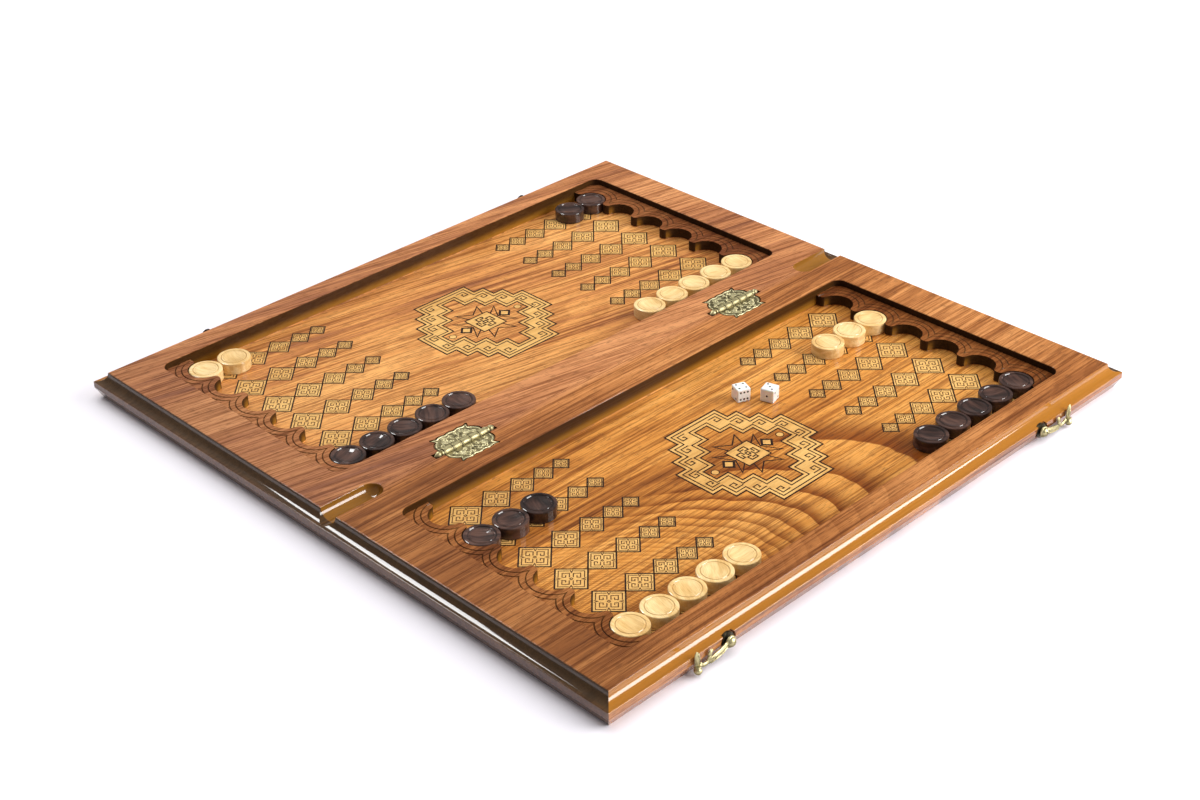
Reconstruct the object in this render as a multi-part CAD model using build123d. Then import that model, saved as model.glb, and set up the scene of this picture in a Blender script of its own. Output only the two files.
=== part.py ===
from build123d import *
import math
import os

# A folding backgammon case, opened flat, with its checkers, dice, hinges and hooks.
# Millimetres. X runs across the case, Y along the seam, Z up. The origin is on the
# table under the middle of the case. The left half is on the -X side.

# ---- Case ----
CASE_WIDTH = 600.0            # opened, between the two long outer rims
CASE_LENGTH = 600.0           # along the seam, between the two end rims
CASE_THICKNESS = 23.0         # one half, table to top face
SEAM_GAP = 0.3                # between the two halves, opened
FOLD_GAP = 0.3                # between the two top faces, closed

# ---- Edge profile of the outer sides ----
RIM_REACH = 10.0              # rim beyond the edge of the top face
COVE_RADIUS = 7.3
ARRIS_RADIUS = 0.9            # rounding where the top face meets the cove
RIM_ARRIS = 0.6
RIM_FACE_HEIGHT = 5.8         # upright part of the rim
BEVEL_INSET = 4.5             # underside of the rim

# ---- Recess ----
OUTER_RAIL = 21.0             # top face beside the recess, long outer side
SEAM_RAIL = 36.0              # top face beside the recess, seam side
END_RAIL = 35.6               # top face beside the recess, short ends
RECESS_CORNER = 9.0
RECESS_DEPTH = 16.0
LEDGE_DEPTH = 6.0             # ledge with the checker nests, below the top face
EDGE_BREAK = 0.5              # small bevel on the upper edges of the recess

# ---- Points and nests ----
POINTS_PER_END = 6
POINT_PITCH = 37.7
NEST_CLEARANCE = 0.8          # radial, around a checker
NOSE_ROUND = 3.4              # tip of the wood between two nests
NEST_RING_GAP = 5.0           # from the nest's edge to a ring, and ring to ring
NEST_RINGS = 2
NEST_WALL = 4.2               # ledge between the outer ring and the end wall
TROUGH_END = 50.0             # middle of the seam trough's round end, from the end rim
RING_WIDTH = 1.2
RING_DEPTH = 0.7

# ---- Checkers ----
CHECKER_DIAMETER = 28.0
CHECKER_THICKNESS = 10.0
CHECKER_SPACING = 0.5         # free gap between two checkers in a row
CHECKER_CHAMFER = 0.7
CHECKER_RIM = 3.0             # width of the flat rim on each face
CHECKER_GROOVE_WIDTH = 0.9
CHECKER_GROOVE_DEPTH = 0.5
CHECKER_DISH_DEPTH = 0.6
CHECKER_DISH_LAND = 1.4       # flat land between the groove and the dish
DARK_RIM = 2.6                # a dark checker's rim, standing above its middle
DARK_STEP = 0.7               # from the rim down to the groove
DARK_STEP_RUN = 0.5
DARK_GROOVE_WIDTH = 1.1
DARK_BEAD_RISE = 0.3          # ring between the groove and the dish
DARK_BEAD_WIDTH = 0.9
DARK_DISH_DEPTH = 1.2         # below the rim
DISH_SLOPE = (0.6, 0.7)       # a point of the dish's slope: shares of its radius and depth
DISH_FLAT = 0.3               # flat bottom of the dish, share of its radius

# ---- Dice ----
DIE_SIZE = 12.0
DIE_ROUND = 1.1
PIP_RADIUS = 0.95
PIP_DEPTH = 0.35
PIP_SPREAD = 3.1              # from the middle of a face to its outer pips

# ---- Hinges ----
HINGE_OFFSET = 156.5          # hinge middle from the middle of the case, along the seam
KNUCKLES = 5
KNUCKLE_LENGTH = 9.0
KNUCKLE_GAP = 0.3
KNUCKLE_RADIUS = 3.0
PIN_RADIUS = 1.1
PIN_RUNNING_FIT = 0.05        # radial, in the knuckles that turn on the pin
FINIAL_LENGTH = 8.5
FINIAL_CUP_RADIUS = 2.6
FINIAL_CUP_LENGTH = 1.4
FINIAL_NECK_RADIUS = 1.4
FINIAL_NECK_AT = 2.2          # first and second neck, from the end of the barrel
FINIAL_BELLY_AT = 4.4
FINIAL_TAIL_AT = 6.8
LEAF_REACH = 19.5             # corner tips from the hinge axis
LEAF_TIP_SPREAD = 18.4        # corner tips from the hinge middle, along the seam
LEAF_THICKNESS = 1.2
LEAF_SINK = 0.3               # leaf surface below the top face
LEAF_SHOULDER = 0.42          # end of the straight side, share of the reach
LEAF_NOTCH = (0.75, 0.87)     # hollow behind a tip, shares of the reach and the spread
LEAF_EDGE = (0.93, 0.76)      # inner end of a tip, shares of the reach and the spread
LEAF_SIDE_BULGE = (1.0, 0.6)
LEAF_LOBES = 3                # scallops on the edge between the two tips
LEAF_LOBE_BULGE = 1.2
MORTISE_GAP = 1.0             # around a leaf
BARREL_POCKET_GAP = 0.5       # radial, around the barrel
LEAF_SCREW_REACH = 10.5
LEAF_SCREW_SPREAD = 11.0
LEAF_SCREW_HEAD_RADIUS = 1.7
LEAF_SCREW_HEAD_HEIGHT = 0.7
LEAF_SCREW_RADIUS = 0.8
LEAF_SCREW_LENGTH = 6.2
LEAF_SCREW_TURN = 35.0        # the slot's turn, degrees
SCREW_GAP = 0.15              # radial, around heads and shanks

# ---- Hooks and catch studs ----
HOOK_OFFSET = 185.0           # from the middle of the case, along the seam
HOOK_PIVOT_DEPTH = 13.5       # below the top face
STUD_DEPTH = 11.8             # below the top face
SPOT_FACE_RADIUS = 7.5
SPOT_FACE_DEPTH = 3.0         # into the rim
BASE_RADIUS = 6.0
BASE_THICKNESS = 2.6
BASE_BOSS_RADIUS = 3.2
HOOK_THICKNESS = 2.2
HOOK_STANDOFF = 0.9           # hook from the rim face
HOOK_SIDE_GAP = 0.1           # to the boss and to the screw's head
HOOK_RUNNING_FIT = 0.05       # radial, around the pivot screw
HOOK_EYE_RADIUS = 5.2
HOOK_ARM_WIDTH = 4.6
HOOK_ARM_SAG = 3.5            # lowest point of the arm's middle line, below the pivot
HOOK_ARM_END_DROP = 5.0       # arm's middle line under the mouth, below the pivot
HOOK_SAG_AT = 11.3            # along the arm
HOOK_CRADLE_WALL = 3.7        # around the mouth
HOOK_CURL_RADIUS = 2.3
HOOK_CURL_GAP = 0.8           # between the mouth and the curl's round
HOOK_CURL_RISE = 3.3
HOOK_LINK_WIDTH = 3.2         # between the cradle and the finger
HOOK_LINK_DROP = 3.0
HOOK_FINGER_GAP = 1.8         # finger's middle beyond the cradle
HOOK_FINGER_WIDTH = 5.2
HOOK_FINGER_WAIST = 3.4       # width of the finger at its foot
HOOK_FINGER_LEAN = 0.7        # tip beyond the finger's middle
HOOK_FINGER_RISE = 10.8       # pointed tip above the pivot's level
HOOK_BALL_DROP = 5.0          # ball below the pivot's level
HOOK_BALL_RADIUS = 3.0
HOOK_BALL_LIFT = 1.0          # ball's middle, out from the hook's middle plane
PIVOT_RADIUS = 2.0
PIVOT_HEAD_RADIUS = 3.9
HEAD_DOME = 2.6
SLOT_WIDTH = 0.9
SLOT_DEPTH = 0.8
PIVOT_SLOT_TURN = 30.0        # degrees
SHANK_LENGTH = 9.0            # in the wood
STUD_PLATE_RADIUS = 5.5
STUD_PLATE_THICKNESS = 2.0
STUD_NECK_RADIUS = 2.2
STUD_HEAD_RADIUS = 5.3
MOUTH_CLEARANCE = 0.5         # radial, around the stud's neck

# ---- Derived sizes ----
TOP = CASE_THICKNESS
RIM_X = CASE_WIDTH / 2
RIM_Y = CASE_LENGTH / 2
FACE_X = RIM_X - RIM_REACH
FACE_Y = RIM_Y - RIM_REACH
COVE_DEPTH = ARRIS_RADIUS + COVE_RADIUS
RIM_LOW = TOP - COVE_DEPTH - RIM_FACE_HEIGHT
LEDGE_Z = TOP - LEDGE_DEPTH
FLOOR_Z = TOP - RECESS_DEPTH
RECESS_INNER = SEAM_RAIL
RECESS_OUTER = FACE_X - OUTER_RAIL
RECESS_WIDTH = RECESS_OUTER - RECESS_INNER
RECESS_MIDDLE = (RECESS_OUTER + RECESS_INNER) / 2
RECESS_END = FACE_Y - END_RAIL
CHECKER_RADIUS = CHECKER_DIAMETER / 2
NEST_RADIUS = CHECKER_RADIUS + NEST_CLEARANCE
NEST_RING_OUTER = NEST_RADIUS + NEST_RINGS * NEST_RING_GAP
NEST_Y = RECESS_END - NEST_WALL - NEST_RING_OUTER
TROUGH_Y = RIM_Y - TROUGH_END
AXIS_Z = TOP + FOLD_GAP / 2
BARREL_HALF = KNUCKLES * KNUCKLE_LENGTH / 2
POCKET_RADIUS = KNUCKLE_RADIUS + BARREL_POCKET_GAP
POCKET_HALF = BARREL_HALF + FINIAL_LENGTH + BARREL_POCKET_GAP
SPOT_X = RIM_X - SPOT_FACE_DEPTH
HOOK_X = RIM_X + HOOK_STANDOFF
HOOK_OUT = HOOK_X + HOOK_THICKNESS
PIVOT_Z = TOP - HOOK_PIVOT_DEPTH
STUD_Z = TOP - STUD_DEPTH
MOUTH_REACH = HOOK_PIVOT_DEPTH + STUD_DEPTH + FOLD_GAP
MOUTH_RADIUS = STUD_NECK_RADIUS + MOUTH_CLEARANCE
HARDWARE_REACH = HOOK_OUT + HOOK_SIDE_GAP + HEAD_DOME
CUT = 2.0                     # how far a cutter runs past what it cuts
ON_LINE = 0.01                # how near a corner is to the line it lies on

# Start position: side (-1 left, 1 right), end (-1 near, 1 far), point counted from
# -X within the half, number of checkers, colour.
LAYOUT = [
    (-1, -1, 1, 2, "light"),
    (-1, 1, 6, 5, "light"),
    (1, -1, 6, 5, "light"),
    (1, 1, 2, 3, "light"),
    (-1, 1, 1, 2, "dark"),
    (-1, -1, 6, 5, "dark"),
    (1, -1, 2, 3, "dark"),
    (1, 1, 6, 5, "dark"),
]

# Dice: middle in X and Y, turn about Z, and the faces' pips in the order
# top, bottom, front (-Y), back (+Y), left (-X), right (+X).
DICE = [
    ((94.0, 60.0), -22.0, (4, 3, 2, 5, 1, 6)),
    ((111.5, 75.5), 17.0, (3, 4, 1, 6, 5, 2)),
]

# Pips on a face, in units of PIP_SPREAD.
PIP_PLACES = {
    1: [(0, 0)],
    2: [(-1, 1), (1, -1)],
    3: [(-1, 1), (0, 0), (1, -1)],
    4: [(-1, -1), (-1, 1), (1, -1), (1, 1)],
    5: [(-1, -1), (-1, 1), (0, 0), (1, -1), (1, 1)],
    6: [(-1, -1), (0, -1), (1, -1), (-1, 1), (0, 1), (1, 1)],
}


def save(shape, name):
    export_step(shape, os.path.join("parts", name + ".step"))


def face_from(edges):
    return make_face(Wire(edges))


def line(a, b):
    return Edge.make_line((*a, 0), (*b, 0))


def arc(a, middle, b):
    return Edge.make_three_point_arc((*a, 0), (*middle, 0), (*b, 0))


def arc_middle(centre, radius, degrees):
    angle = math.radians(degrees)
    return (centre[0] + radius * math.cos(angle), centre[1] + radius * math.sin(angle))


def edge_profile():
    """The outline from the top face to the foot: outward distance and height."""
    top_edge = (0, TOP)
    cove_start = (ARRIS_RADIUS, TOP - ARRIS_RADIUS)
    cove_centre = (ARRIS_RADIUS + COVE_RADIUS, TOP - ARRIS_RADIUS)
    cove_end = (cove_centre[0], TOP - COVE_DEPTH)
    rim_top = (RIM_REACH - RIM_ARRIS, TOP - COVE_DEPTH)
    rim_side = (RIM_REACH, TOP - COVE_DEPTH - RIM_ARRIS)
    return [
        arc(top_edge, arc_middle((0, TOP - ARRIS_RADIUS), ARRIS_RADIUS, 45), cove_start),
        arc(cove_start, arc_middle(cove_centre, COVE_RADIUS, 225), cove_end),
        line(cove_end, rim_top),
        arc(rim_top, arc_middle((rim_top[0], rim_side[1]), RIM_ARRIS, 45), rim_side),
    ]


def outer_cutter_section():
    foot = (RIM_REACH - BEVEL_INSET, 0)
    outline = [
        line((RIM_REACH, TOP - COVE_DEPTH - RIM_ARRIS), (RIM_REACH, RIM_LOW)),
        line((RIM_REACH, RIM_LOW), foot),
        line(foot, (foot[0], -CUT)),
        line((foot[0], -CUT), (RIM_REACH + CUT, -CUT)),
        line((RIM_REACH + CUT, -CUT), (RIM_REACH + CUT, TOP + CUT)),
        line((RIM_REACH + CUT, TOP + CUT), (0, TOP + CUT)),
        line((0, TOP + CUT), (0, TOP)),
    ]
    return face_from(edge_profile() + outline)


def trough_section():
    """The outer side's cove again, turned about the seam: distance from the seam, height."""
    cove_low = TOP - COVE_DEPTH
    cove_centre = (RIM_REACH - ARRIS_RADIUS - COVE_RADIUS, TOP - ARRIS_RADIUS)
    cove_top = (RIM_REACH - ARRIS_RADIUS, TOP - ARRIS_RADIUS)
    edges = [
        line((0, TOP + CUT), (0, cove_low)),
        line((0, cove_low), (cove_centre[0], cove_low)),
        arc((cove_centre[0], cove_low), arc_middle(cove_centre, COVE_RADIUS, -45), cove_top),
        arc(cove_top, arc_middle((RIM_REACH, TOP - ARRIS_RADIUS), ARRIS_RADIUS, 135), (RIM_REACH, TOP)),
        line((RIM_REACH, TOP), (RIM_REACH, TOP + CUT)),
        line((RIM_REACH, TOP + CUT), (0, TOP + CUT)),
    ]
    return face_from(edges)


def long_side_cutter():
    plane = Plane(origin=(FACE_X, RIM_Y + CUT, 0), x_dir=(1, 0, 0), z_dir=(0, -1, 0))
    return extrude(plane * outer_cutter_section(), CASE_LENGTH + 2 * CUT)


def end_cutter():
    plane = Plane(origin=(-CUT, FACE_Y, 0), x_dir=(0, 1, 0), z_dir=(1, 0, 0))
    return extrude(plane * outer_cutter_section(), RIM_X + 2 * CUT)


def trough_cutter():
    run_plane = Plane(origin=(0, RIM_Y + CUT, 0), x_dir=(1, 0, 0), z_dir=(0, -1, 0))
    run = extrude(run_plane * trough_section(), RIM_Y + CUT - TROUGH_Y)
    turn_plane = Plane(origin=(0, TROUGH_Y, 0), x_dir=(1, 0, 0), z_dir=(0, -1, 0))
    turn = revolve(turn_plane * trough_section(), Axis((0, TROUGH_Y, 0), (0, 0, 1)), 360)
    return run + turn


def nest_xs():
    first = RECESS_MIDDLE - POINT_PITCH * (POINTS_PER_END - 1) / 2
    return [first + POINT_PITCH * i for i in range(POINTS_PER_END)]


def field_sketch():
    """Floor outline: the open field with a half-round nest at the end of each point."""
    field = Pos(RECESS_MIDDLE, 0) * Rectangle(RECESS_WIDTH, 2 * NEST_Y)
    for x in nest_xs():
        for end in (-1, 1):
            field += Pos(x, end * NEST_Y) * Circle(NEST_RADIUS)
    tips = [
        v for v in field.vertices()
        if abs(abs(v.Y) - NEST_Y) < ON_LINE and RECESS_INNER + CUT < v.X < RECESS_OUTER - CUT
    ]
    return fillet(tips, NOSE_ROUND)


def nest_rings():
    """Carved rings around each nest on the ledge, cut off where two nests meet."""
    rings = []
    xs = nest_xs()
    for i, x in enumerate(xs):
        low = RECESS_INNER if i == 0 else x - POINT_PITCH / 2
        high = RECESS_OUTER if i == len(xs) - 1 else x + POINT_PITCH / 2
        for end in (-1, 1):
            cell_depth = RECESS_END - NEST_Y
            cell_middle = ((low + high) / 2, end * (NEST_Y + cell_depth / 2), LEDGE_Z)
            cell = Pos(*cell_middle) * Box(high - low, cell_depth, 4 * RING_DEPTH)
            for k in range(1, NEST_RINGS + 1):
                radius = NEST_RADIUS + k * NEST_RING_GAP
                section = Plane.XZ * Polygon(
                    (radius, LEDGE_Z - RING_DEPTH),
                    (radius + RING_WIDTH, LEDGE_Z + RING_DEPTH),
                    (radius - RING_WIDTH, LEDGE_Z + RING_DEPTH),
                    align=None,
                )
                ring = Pos(x, end * NEST_Y, 0) * revolve(section, Axis.Z, 360)
                rings += (ring & cell).solids()
    return rings


def recess_cutters():
    mouth = Pos(RECESS_MIDDLE, 0) * RectangleRounded(RECESS_WIDTH, 2 * RECESS_END, RECESS_CORNER)
    upper = extrude(Pos(0, 0, LEDGE_Z) * mouth, LEDGE_DEPTH + CUT)
    broad = Pos(RECESS_MIDDLE, 0) * RectangleRounded(
        RECESS_WIDTH + 2 * EDGE_BREAK, 2 * RECESS_END + 2 * EDGE_BREAK, RECESS_CORNER + EDGE_BREAK
    )
    lip = extrude(Pos(0, 0, TOP) * broad, -EDGE_BREAK, taper=45)
    lower = extrude(Pos(0, 0, FLOOR_Z) * field_sketch(), LEDGE_DEPTH + RECESS_DEPTH)
    return [upper, lip, lower]


def leaf_sketch():
    """One hinge leaf on the +X side of its axis, in plan, from its own middle."""
    shoulder_x = LEAF_REACH * LEAF_SHOULDER
    notch_x = LEAF_REACH * LEAF_NOTCH[0]
    notch_y = LEAF_TIP_SPREAD * LEAF_NOTCH[1]
    lobe_x = LEAF_REACH * LEAF_EDGE[0]
    lobe_y = LEAF_TIP_SPREAD * LEAF_EDGE[1]
    bulge_x = (shoulder_x + notch_x) / 2 + LEAF_SIDE_BULGE[0]
    end_y = BARREL_HALF - KNUCKLE_GAP / 2
    bulge_y = (end_y + notch_y) / 2 + LEAF_SIDE_BULGE[1]
    edges = [line((POCKET_RADIUS, -end_y), (POCKET_RADIUS, end_y))]
    for sign in (-1, 1):
        shoulder = (shoulder_x, sign * end_y)
        notch = (notch_x, sign * notch_y)
        tip = (LEAF_REACH, sign * LEAF_TIP_SPREAD)
        edges += [
            line((POCKET_RADIUS, sign * end_y), shoulder),
            arc(shoulder, (bulge_x, sign * bulge_y), notch),
            line(notch, tip),
            line(tip, (lobe_x, sign * lobe_y)),
        ]
    step = 2 * lobe_y / LEAF_LOBES
    for i in range(LEAF_LOBES):
        start = (lobe_x, lobe_y - step * i)
        stop = (lobe_x, start[1] - step)
        edges.append(arc(start, (lobe_x + LEAF_LOBE_BULGE, start[1] - step / 2), stop))
    return face_from(edges)


def knuckle_middle(index):
    return -BARREL_HALF + KNUCKLE_LENGTH * (index + 0.5)


def leaf(own_knuckles, bore_radius):
    """A leaf on the +X side with its own knuckles, from the hinge's middle."""
    plate_top = TOP - LEAF_SINK
    plate = extrude(Pos(0, 0, plate_top) * leaf_sketch(), -LEAF_THICKNESS)
    length = KNUCKLE_LENGTH - KNUCKLE_GAP
    for index in own_knuckles:
        y = knuckle_middle(index)
        barrel = Pos(0, y, AXIS_Z) * Rot(90, 0, 0) * Cylinder(KNUCKLE_RADIUS, length)
        web_length = POCKET_RADIUS + LEAF_THICKNESS
        web_z = plate_top - LEAF_THICKNESS / 2
        web = Pos(web_length / 2, y, web_z) * Box(web_length, length, LEAF_THICKNESS)
        plate += barrel + web
    bore = Pos(0, 0, AXIS_Z) * Rot(90, 0, 0) * Cylinder(bore_radius, 2 * BARREL_HALF + CUT)
    plate -= bore
    for sign in (-1, 1):
        place = Pos(LEAF_SCREW_REACH, sign * LEAF_SCREW_SPREAD, plate_top)
        plate -= place * Cylinder(
            LEAF_SCREW_HEAD_RADIUS + SCREW_GAP, 2 * LEAF_SCREW_HEAD_HEIGHT
        )
        plate -= place * Cylinder(LEAF_SCREW_RADIUS + SCREW_GAP, 4 * LEAF_THICKNESS)
    return plate


def leaf_screws():
    """The two flush screws of a leaf on the +X side, from the hinge's middle."""
    top = TOP - LEAF_SINK
    screws = []
    for sign in (-1, 1):
        head = Pos(0, 0, -LEAF_SCREW_HEAD_HEIGHT / 2) * Cylinder(
            LEAF_SCREW_HEAD_RADIUS, LEAF_SCREW_HEAD_HEIGHT
        )
        shank = Pos(0, 0, -LEAF_SCREW_LENGTH / 2) * Cylinder(LEAF_SCREW_RADIUS, LEAF_SCREW_LENGTH)
        slot = Box(2 * LEAF_SCREW_HEAD_RADIUS + CUT, SLOT_WIDTH / 2, LEAF_SCREW_HEAD_HEIGHT / 2)
        screw = head + shank - Rot(0, 0, sign * LEAF_SCREW_TURN) * slot
        screws.append(Pos(LEAF_SCREW_REACH, sign * LEAF_SCREW_SPREAD, top) * screw)
    return screws


def hinge_pin():
    """Pin with an acorn finial at each end, from the hinge's middle."""
    start = BARREL_HALF
    cup = FINIAL_CUP_RADIUS
    cup_end = start + FINIAL_CUP_LENGTH
    neck = (FINIAL_NECK_RADIUS, start + FINIAL_NECK_AT)
    outline = [
        line((0, 0), (PIN_RADIUS, 0)),
        line((PIN_RADIUS, 0), (PIN_RADIUS, start)),
        line((PIN_RADIUS, start), (cup, start)),
        line((cup, start), (cup, cup_end)),
        line((cup, cup_end), neck),
        Edge.make_spline([
            (*neck, 0),
            (cup, start + FINIAL_BELLY_AT, 0),
            (FINIAL_NECK_RADIUS, start + FINIAL_TAIL_AT, 0),
            (0, start + FINIAL_LENGTH, 0),
        ]),
        line((0, start + FINIAL_LENGTH), (0, 0)),
    ]
    half = revolve(face_from(outline), Axis.Y, 360)
    return Pos(0, 0, AXIS_Z) * (half + mirror(half, Plane.XZ))


def hinge_cutters():
    """Mortise, barrel pocket and screw holes of one leaf on the +X side."""
    inner = Pos(LEAF_REACH / 2, 0) * Rectangle(LEAF_REACH, 2 * BARREL_HALF - CUT)
    outline = offset(leaf_sketch(), MORTISE_GAP, kind=Kind.ARC)
    outline += Pos(POCKET_RADIUS / 2, 0) * Rectangle(POCKET_RADIUS, 2 * BARREL_HALF)
    outline += inner & leaf_sketch()
    depth = LEAF_SINK + LEAF_THICKNESS
    mortise = extrude(Pos(0, 0, TOP - depth) * outline, depth + CUT)
    pocket = Pos(0, 0, AXIS_Z) * Rot(90, 0, 0) * Cylinder(POCKET_RADIUS, 2 * POCKET_HALF)
    cutters = [mortise, pocket]
    for sign in (-1, 1):
        place = Pos(LEAF_SCREW_REACH, sign * LEAF_SCREW_SPREAD, TOP)
        hole_depth = LEAF_SINK + LEAF_SCREW_LENGTH + SCREW_GAP
        cutters.append(place * Cylinder(LEAF_SCREW_RADIUS + SCREW_GAP, 2 * hole_depth))
    return cutters


def spot_face_cutters(height):
    cutters = []
    for sign in (-1, 1):
        place = Pos(SPOT_X, sign * HOOK_OFFSET, height) * Rot(0, 90, 0)
        depth = SPOT_FACE_DEPTH + CUT
        cutters.append(place * Pos(0, 0, depth / 2) * Cylinder(SPOT_FACE_RADIUS, depth))
        hole = SHANK_LENGTH + SCREW_GAP
        cutters.append(place * Cylinder(PIVOT_RADIUS + SCREW_GAP, 2 * hole))
    return cutters


def case_half(hardware_height):
    """The half on the +X side, with its hardware seats at the given height."""
    length = RIM_X - SEAM_GAP / 2
    block = Pos(SEAM_GAP / 2 + length / 2, 0, TOP / 2) * Box(length, CASE_LENGTH, TOP)
    end = end_cutter()
    trough = trough_cutter()
    cutters = [long_side_cutter(), end, mirror(end, Plane.XZ), trough, mirror(trough, Plane.XZ)]
    cutters += recess_cutters()
    for sign in (-1, 1):
        cutters += [Pos(0, sign * HINGE_OFFSET, 0) * c for c in hinge_cutters()]
    cutters += spot_face_cutters(hardware_height)
    half = block - cutters
    return half - nest_rings()


def rounded_corner():
    """A checker's outer corner, from its side to its face."""
    half = CHECKER_THICKNESS / 2
    rounding = CHECKER_CHAMFER * (1 - math.sqrt(0.5))
    return [
        (CHECKER_RADIUS, half - CHECKER_CHAMFER),
        (CHECKER_RADIUS - rounding, half - rounding),
        (CHECKER_RADIUS - CHECKER_CHAMFER, half),
    ]


def dish(edge, edge_z, bottom_z):
    """A dished middle inside the given radius."""
    return [
        (edge, edge_z),
        (edge * DISH_SLOPE[0], edge_z + (bottom_z - edge_z) * DISH_SLOPE[1]),
        (edge * DISH_FLAT, bottom_z),
        (0, bottom_z),
    ]


def light_face_profile():
    """Upper half of a light checker's section: distance from its middle, height."""
    half = CHECKER_THICKNESS / 2
    groove_out = CHECKER_RADIUS - CHECKER_RIM
    groove_in = groove_out - CHECKER_GROOVE_WIDTH
    groove = [
        (groove_out, half),
        ((groove_out + groove_in) / 2, half - CHECKER_GROOVE_DEPTH),
        (groove_in, half),
    ]
    dish_edge = groove_in - CHECKER_DISH_LAND
    return rounded_corner() + groove + dish(dish_edge, half, half - CHECKER_DISH_DEPTH)


def dark_face_profile():
    """Upper half of a dark checker's section: a rim, a groove, a ring and a deeper dish."""
    half = CHECKER_THICKNESS / 2
    low = half - DARK_STEP
    bead = low + DARK_BEAD_RISE
    rim_in = CHECKER_RADIUS - DARK_RIM
    groove_out = rim_in - DARK_STEP_RUN
    groove_in = groove_out - DARK_GROOVE_WIDTH
    bead_out = groove_in - DARK_BEAD_RISE
    steps = [(rim_in, half), (groove_out, low), (groove_in, low), (bead_out, bead)]
    return rounded_corner() + steps + dish(bead_out - DARK_BEAD_WIDTH, bead, half - DARK_DISH_DEPTH)


def checker(upper):
    lower = [(x, -z) for x, z in reversed(upper)]
    return revolve(Plane.XZ * Polygon(*lower, *upper, align=None), Axis.Z, 360)


def checker_places():
    """Each checker's colour and middle, in the order of the layout."""
    places = []
    step = CHECKER_DIAMETER + CHECKER_SPACING
    z = FLOOR_Z + CHECKER_THICKNESS / 2
    for side, end, point, count, colour in LAYOUT:
        index = POINTS_PER_END - point if side < 0 else point - 1
        x = side * nest_xs()[index]
        for k in range(count):
            places.append((colour, (x, end * (NEST_Y - step * k), z)))
    return places


def die(pips):
    body = Box(DIE_SIZE, DIE_SIZE, DIE_SIZE)
    body = fillet(body.edges(), DIE_ROUND)
    half = DIE_SIZE / 2
    sphere_radius = (PIP_RADIUS ** 2 + PIP_DEPTH ** 2) / (2 * PIP_DEPTH)
    lift = half + sphere_radius - PIP_DEPTH
    planes = [
        Plane.XY, Plane(origin=(0, 0, 0), x_dir=(1, 0, 0), z_dir=(0, 0, -1)),
        Plane(origin=(0, 0, 0), x_dir=(1, 0, 0), z_dir=(0, -1, 0)),
        Plane(origin=(0, 0, 0), x_dir=(1, 0, 0), z_dir=(0, 1, 0)),
        Plane(origin=(0, 0, 0), x_dir=(0, 1, 0), z_dir=(-1, 0, 0)),
        Plane(origin=(0, 0, 0), x_dir=(0, 1, 0), z_dir=(1, 0, 0)),
    ]
    dents = []
    for plane, count in zip(planes, pips):
        for u, v in PIP_PLACES[count]:
            dents.append(plane * Pos(u * PIP_SPREAD, v * PIP_SPREAD, lift) * Sphere(sphere_radius))
    return body - dents


def finger_sketch(x):
    """The flame-shaped finger piece, on its middle line at the given distance."""
    half = HOOK_FINGER_WIDTH / 2
    waist = HOOK_FINGER_WAIST / 2
    foot = -HOOK_BALL_DROP
    belly = HOOK_FINGER_RISE / 2
    tip = (x + HOOK_FINGER_LEAN, HOOK_FINGER_RISE)
    return face_from([
        line((x - waist, foot), (x - waist, 0)),
        arc((x - waist, 0), (x - half, belly), tip),
        arc(tip, (x + half, belly), (x + waist, 0)),
        line((x + waist, 0), (x + waist, foot)),
        line((x + waist, foot), (x - waist, foot)),
    ])


def hook_sketch():
    """The hook flat in its own plane: along the arm from the pivot, and up."""
    mouth = (MOUTH_REACH, 0)
    cradle = MOUTH_RADIUS + HOOK_CRADLE_WALL
    curl = (MOUTH_REACH - MOUTH_RADIUS - HOOK_CURL_GAP - HOOK_CURL_RADIUS, HOOK_CURL_RISE)
    finger_x = MOUTH_REACH + cradle + HOOK_FINGER_GAP
    arm_line = Edge.make_three_point_arc(
        (0, 0, 0), (HOOK_SAG_AT, -HOOK_ARM_SAG, 0), (MOUTH_REACH, -HOOK_ARM_END_DROP, 0)
    )
    shape = Circle(HOOK_EYE_RADIUS) + trace(arm_line, HOOK_ARM_WIDTH)
    shape += Pos(*mouth) * Circle(cradle)
    shape -= Pos(mouth[0], cradle + 1) * Rectangle(4 * cradle, 2 * cradle)
    shape += Pos(*curl) * Circle(HOOK_CURL_RADIUS)
    shape += Pos(curl[0], 0) * Rectangle(2 * HOOK_CURL_RADIUS, 2 * curl[1])
    shape += finger_sketch(finger_x)
    shape += Pos((MOUTH_REACH + finger_x) / 2, -HOOK_LINK_DROP) * Rectangle(
        finger_x - MOUTH_REACH, HOOK_LINK_WIDTH
    )
    shape -= Pos(*mouth) * Circle(MOUTH_RADIUS)
    shape -= Pos(mouth[0], cradle) * Rectangle(2 * MOUTH_RADIUS, 2 * cradle)
    shape -= Circle(PIVOT_RADIUS + HOOK_RUNNING_FIT)
    return shape, finger_x


def hook_plane():
    """On the far side of the case: arm along +Y, up along +Z, thickness along +X."""
    return Plane(origin=(HOOK_X, HOOK_OFFSET, PIVOT_Z), x_dir=(0, 1, 0), z_dir=(1, 0, 0))


def hook():
    sketch, finger_x = hook_sketch()
    plate = extrude(sketch, HOOK_THICKNESS)
    ball_z = HOOK_THICKNESS / 2 + HOOK_BALL_LIFT
    ball = Pos(finger_x, -HOOK_BALL_DROP, ball_z) * Sphere(HOOK_BALL_RADIUS)
    return hook_plane() * (plate + ball)


def along_x(x, y, z):
    return Pos(x, y, z) * Rot(0, 90, 0)


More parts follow.
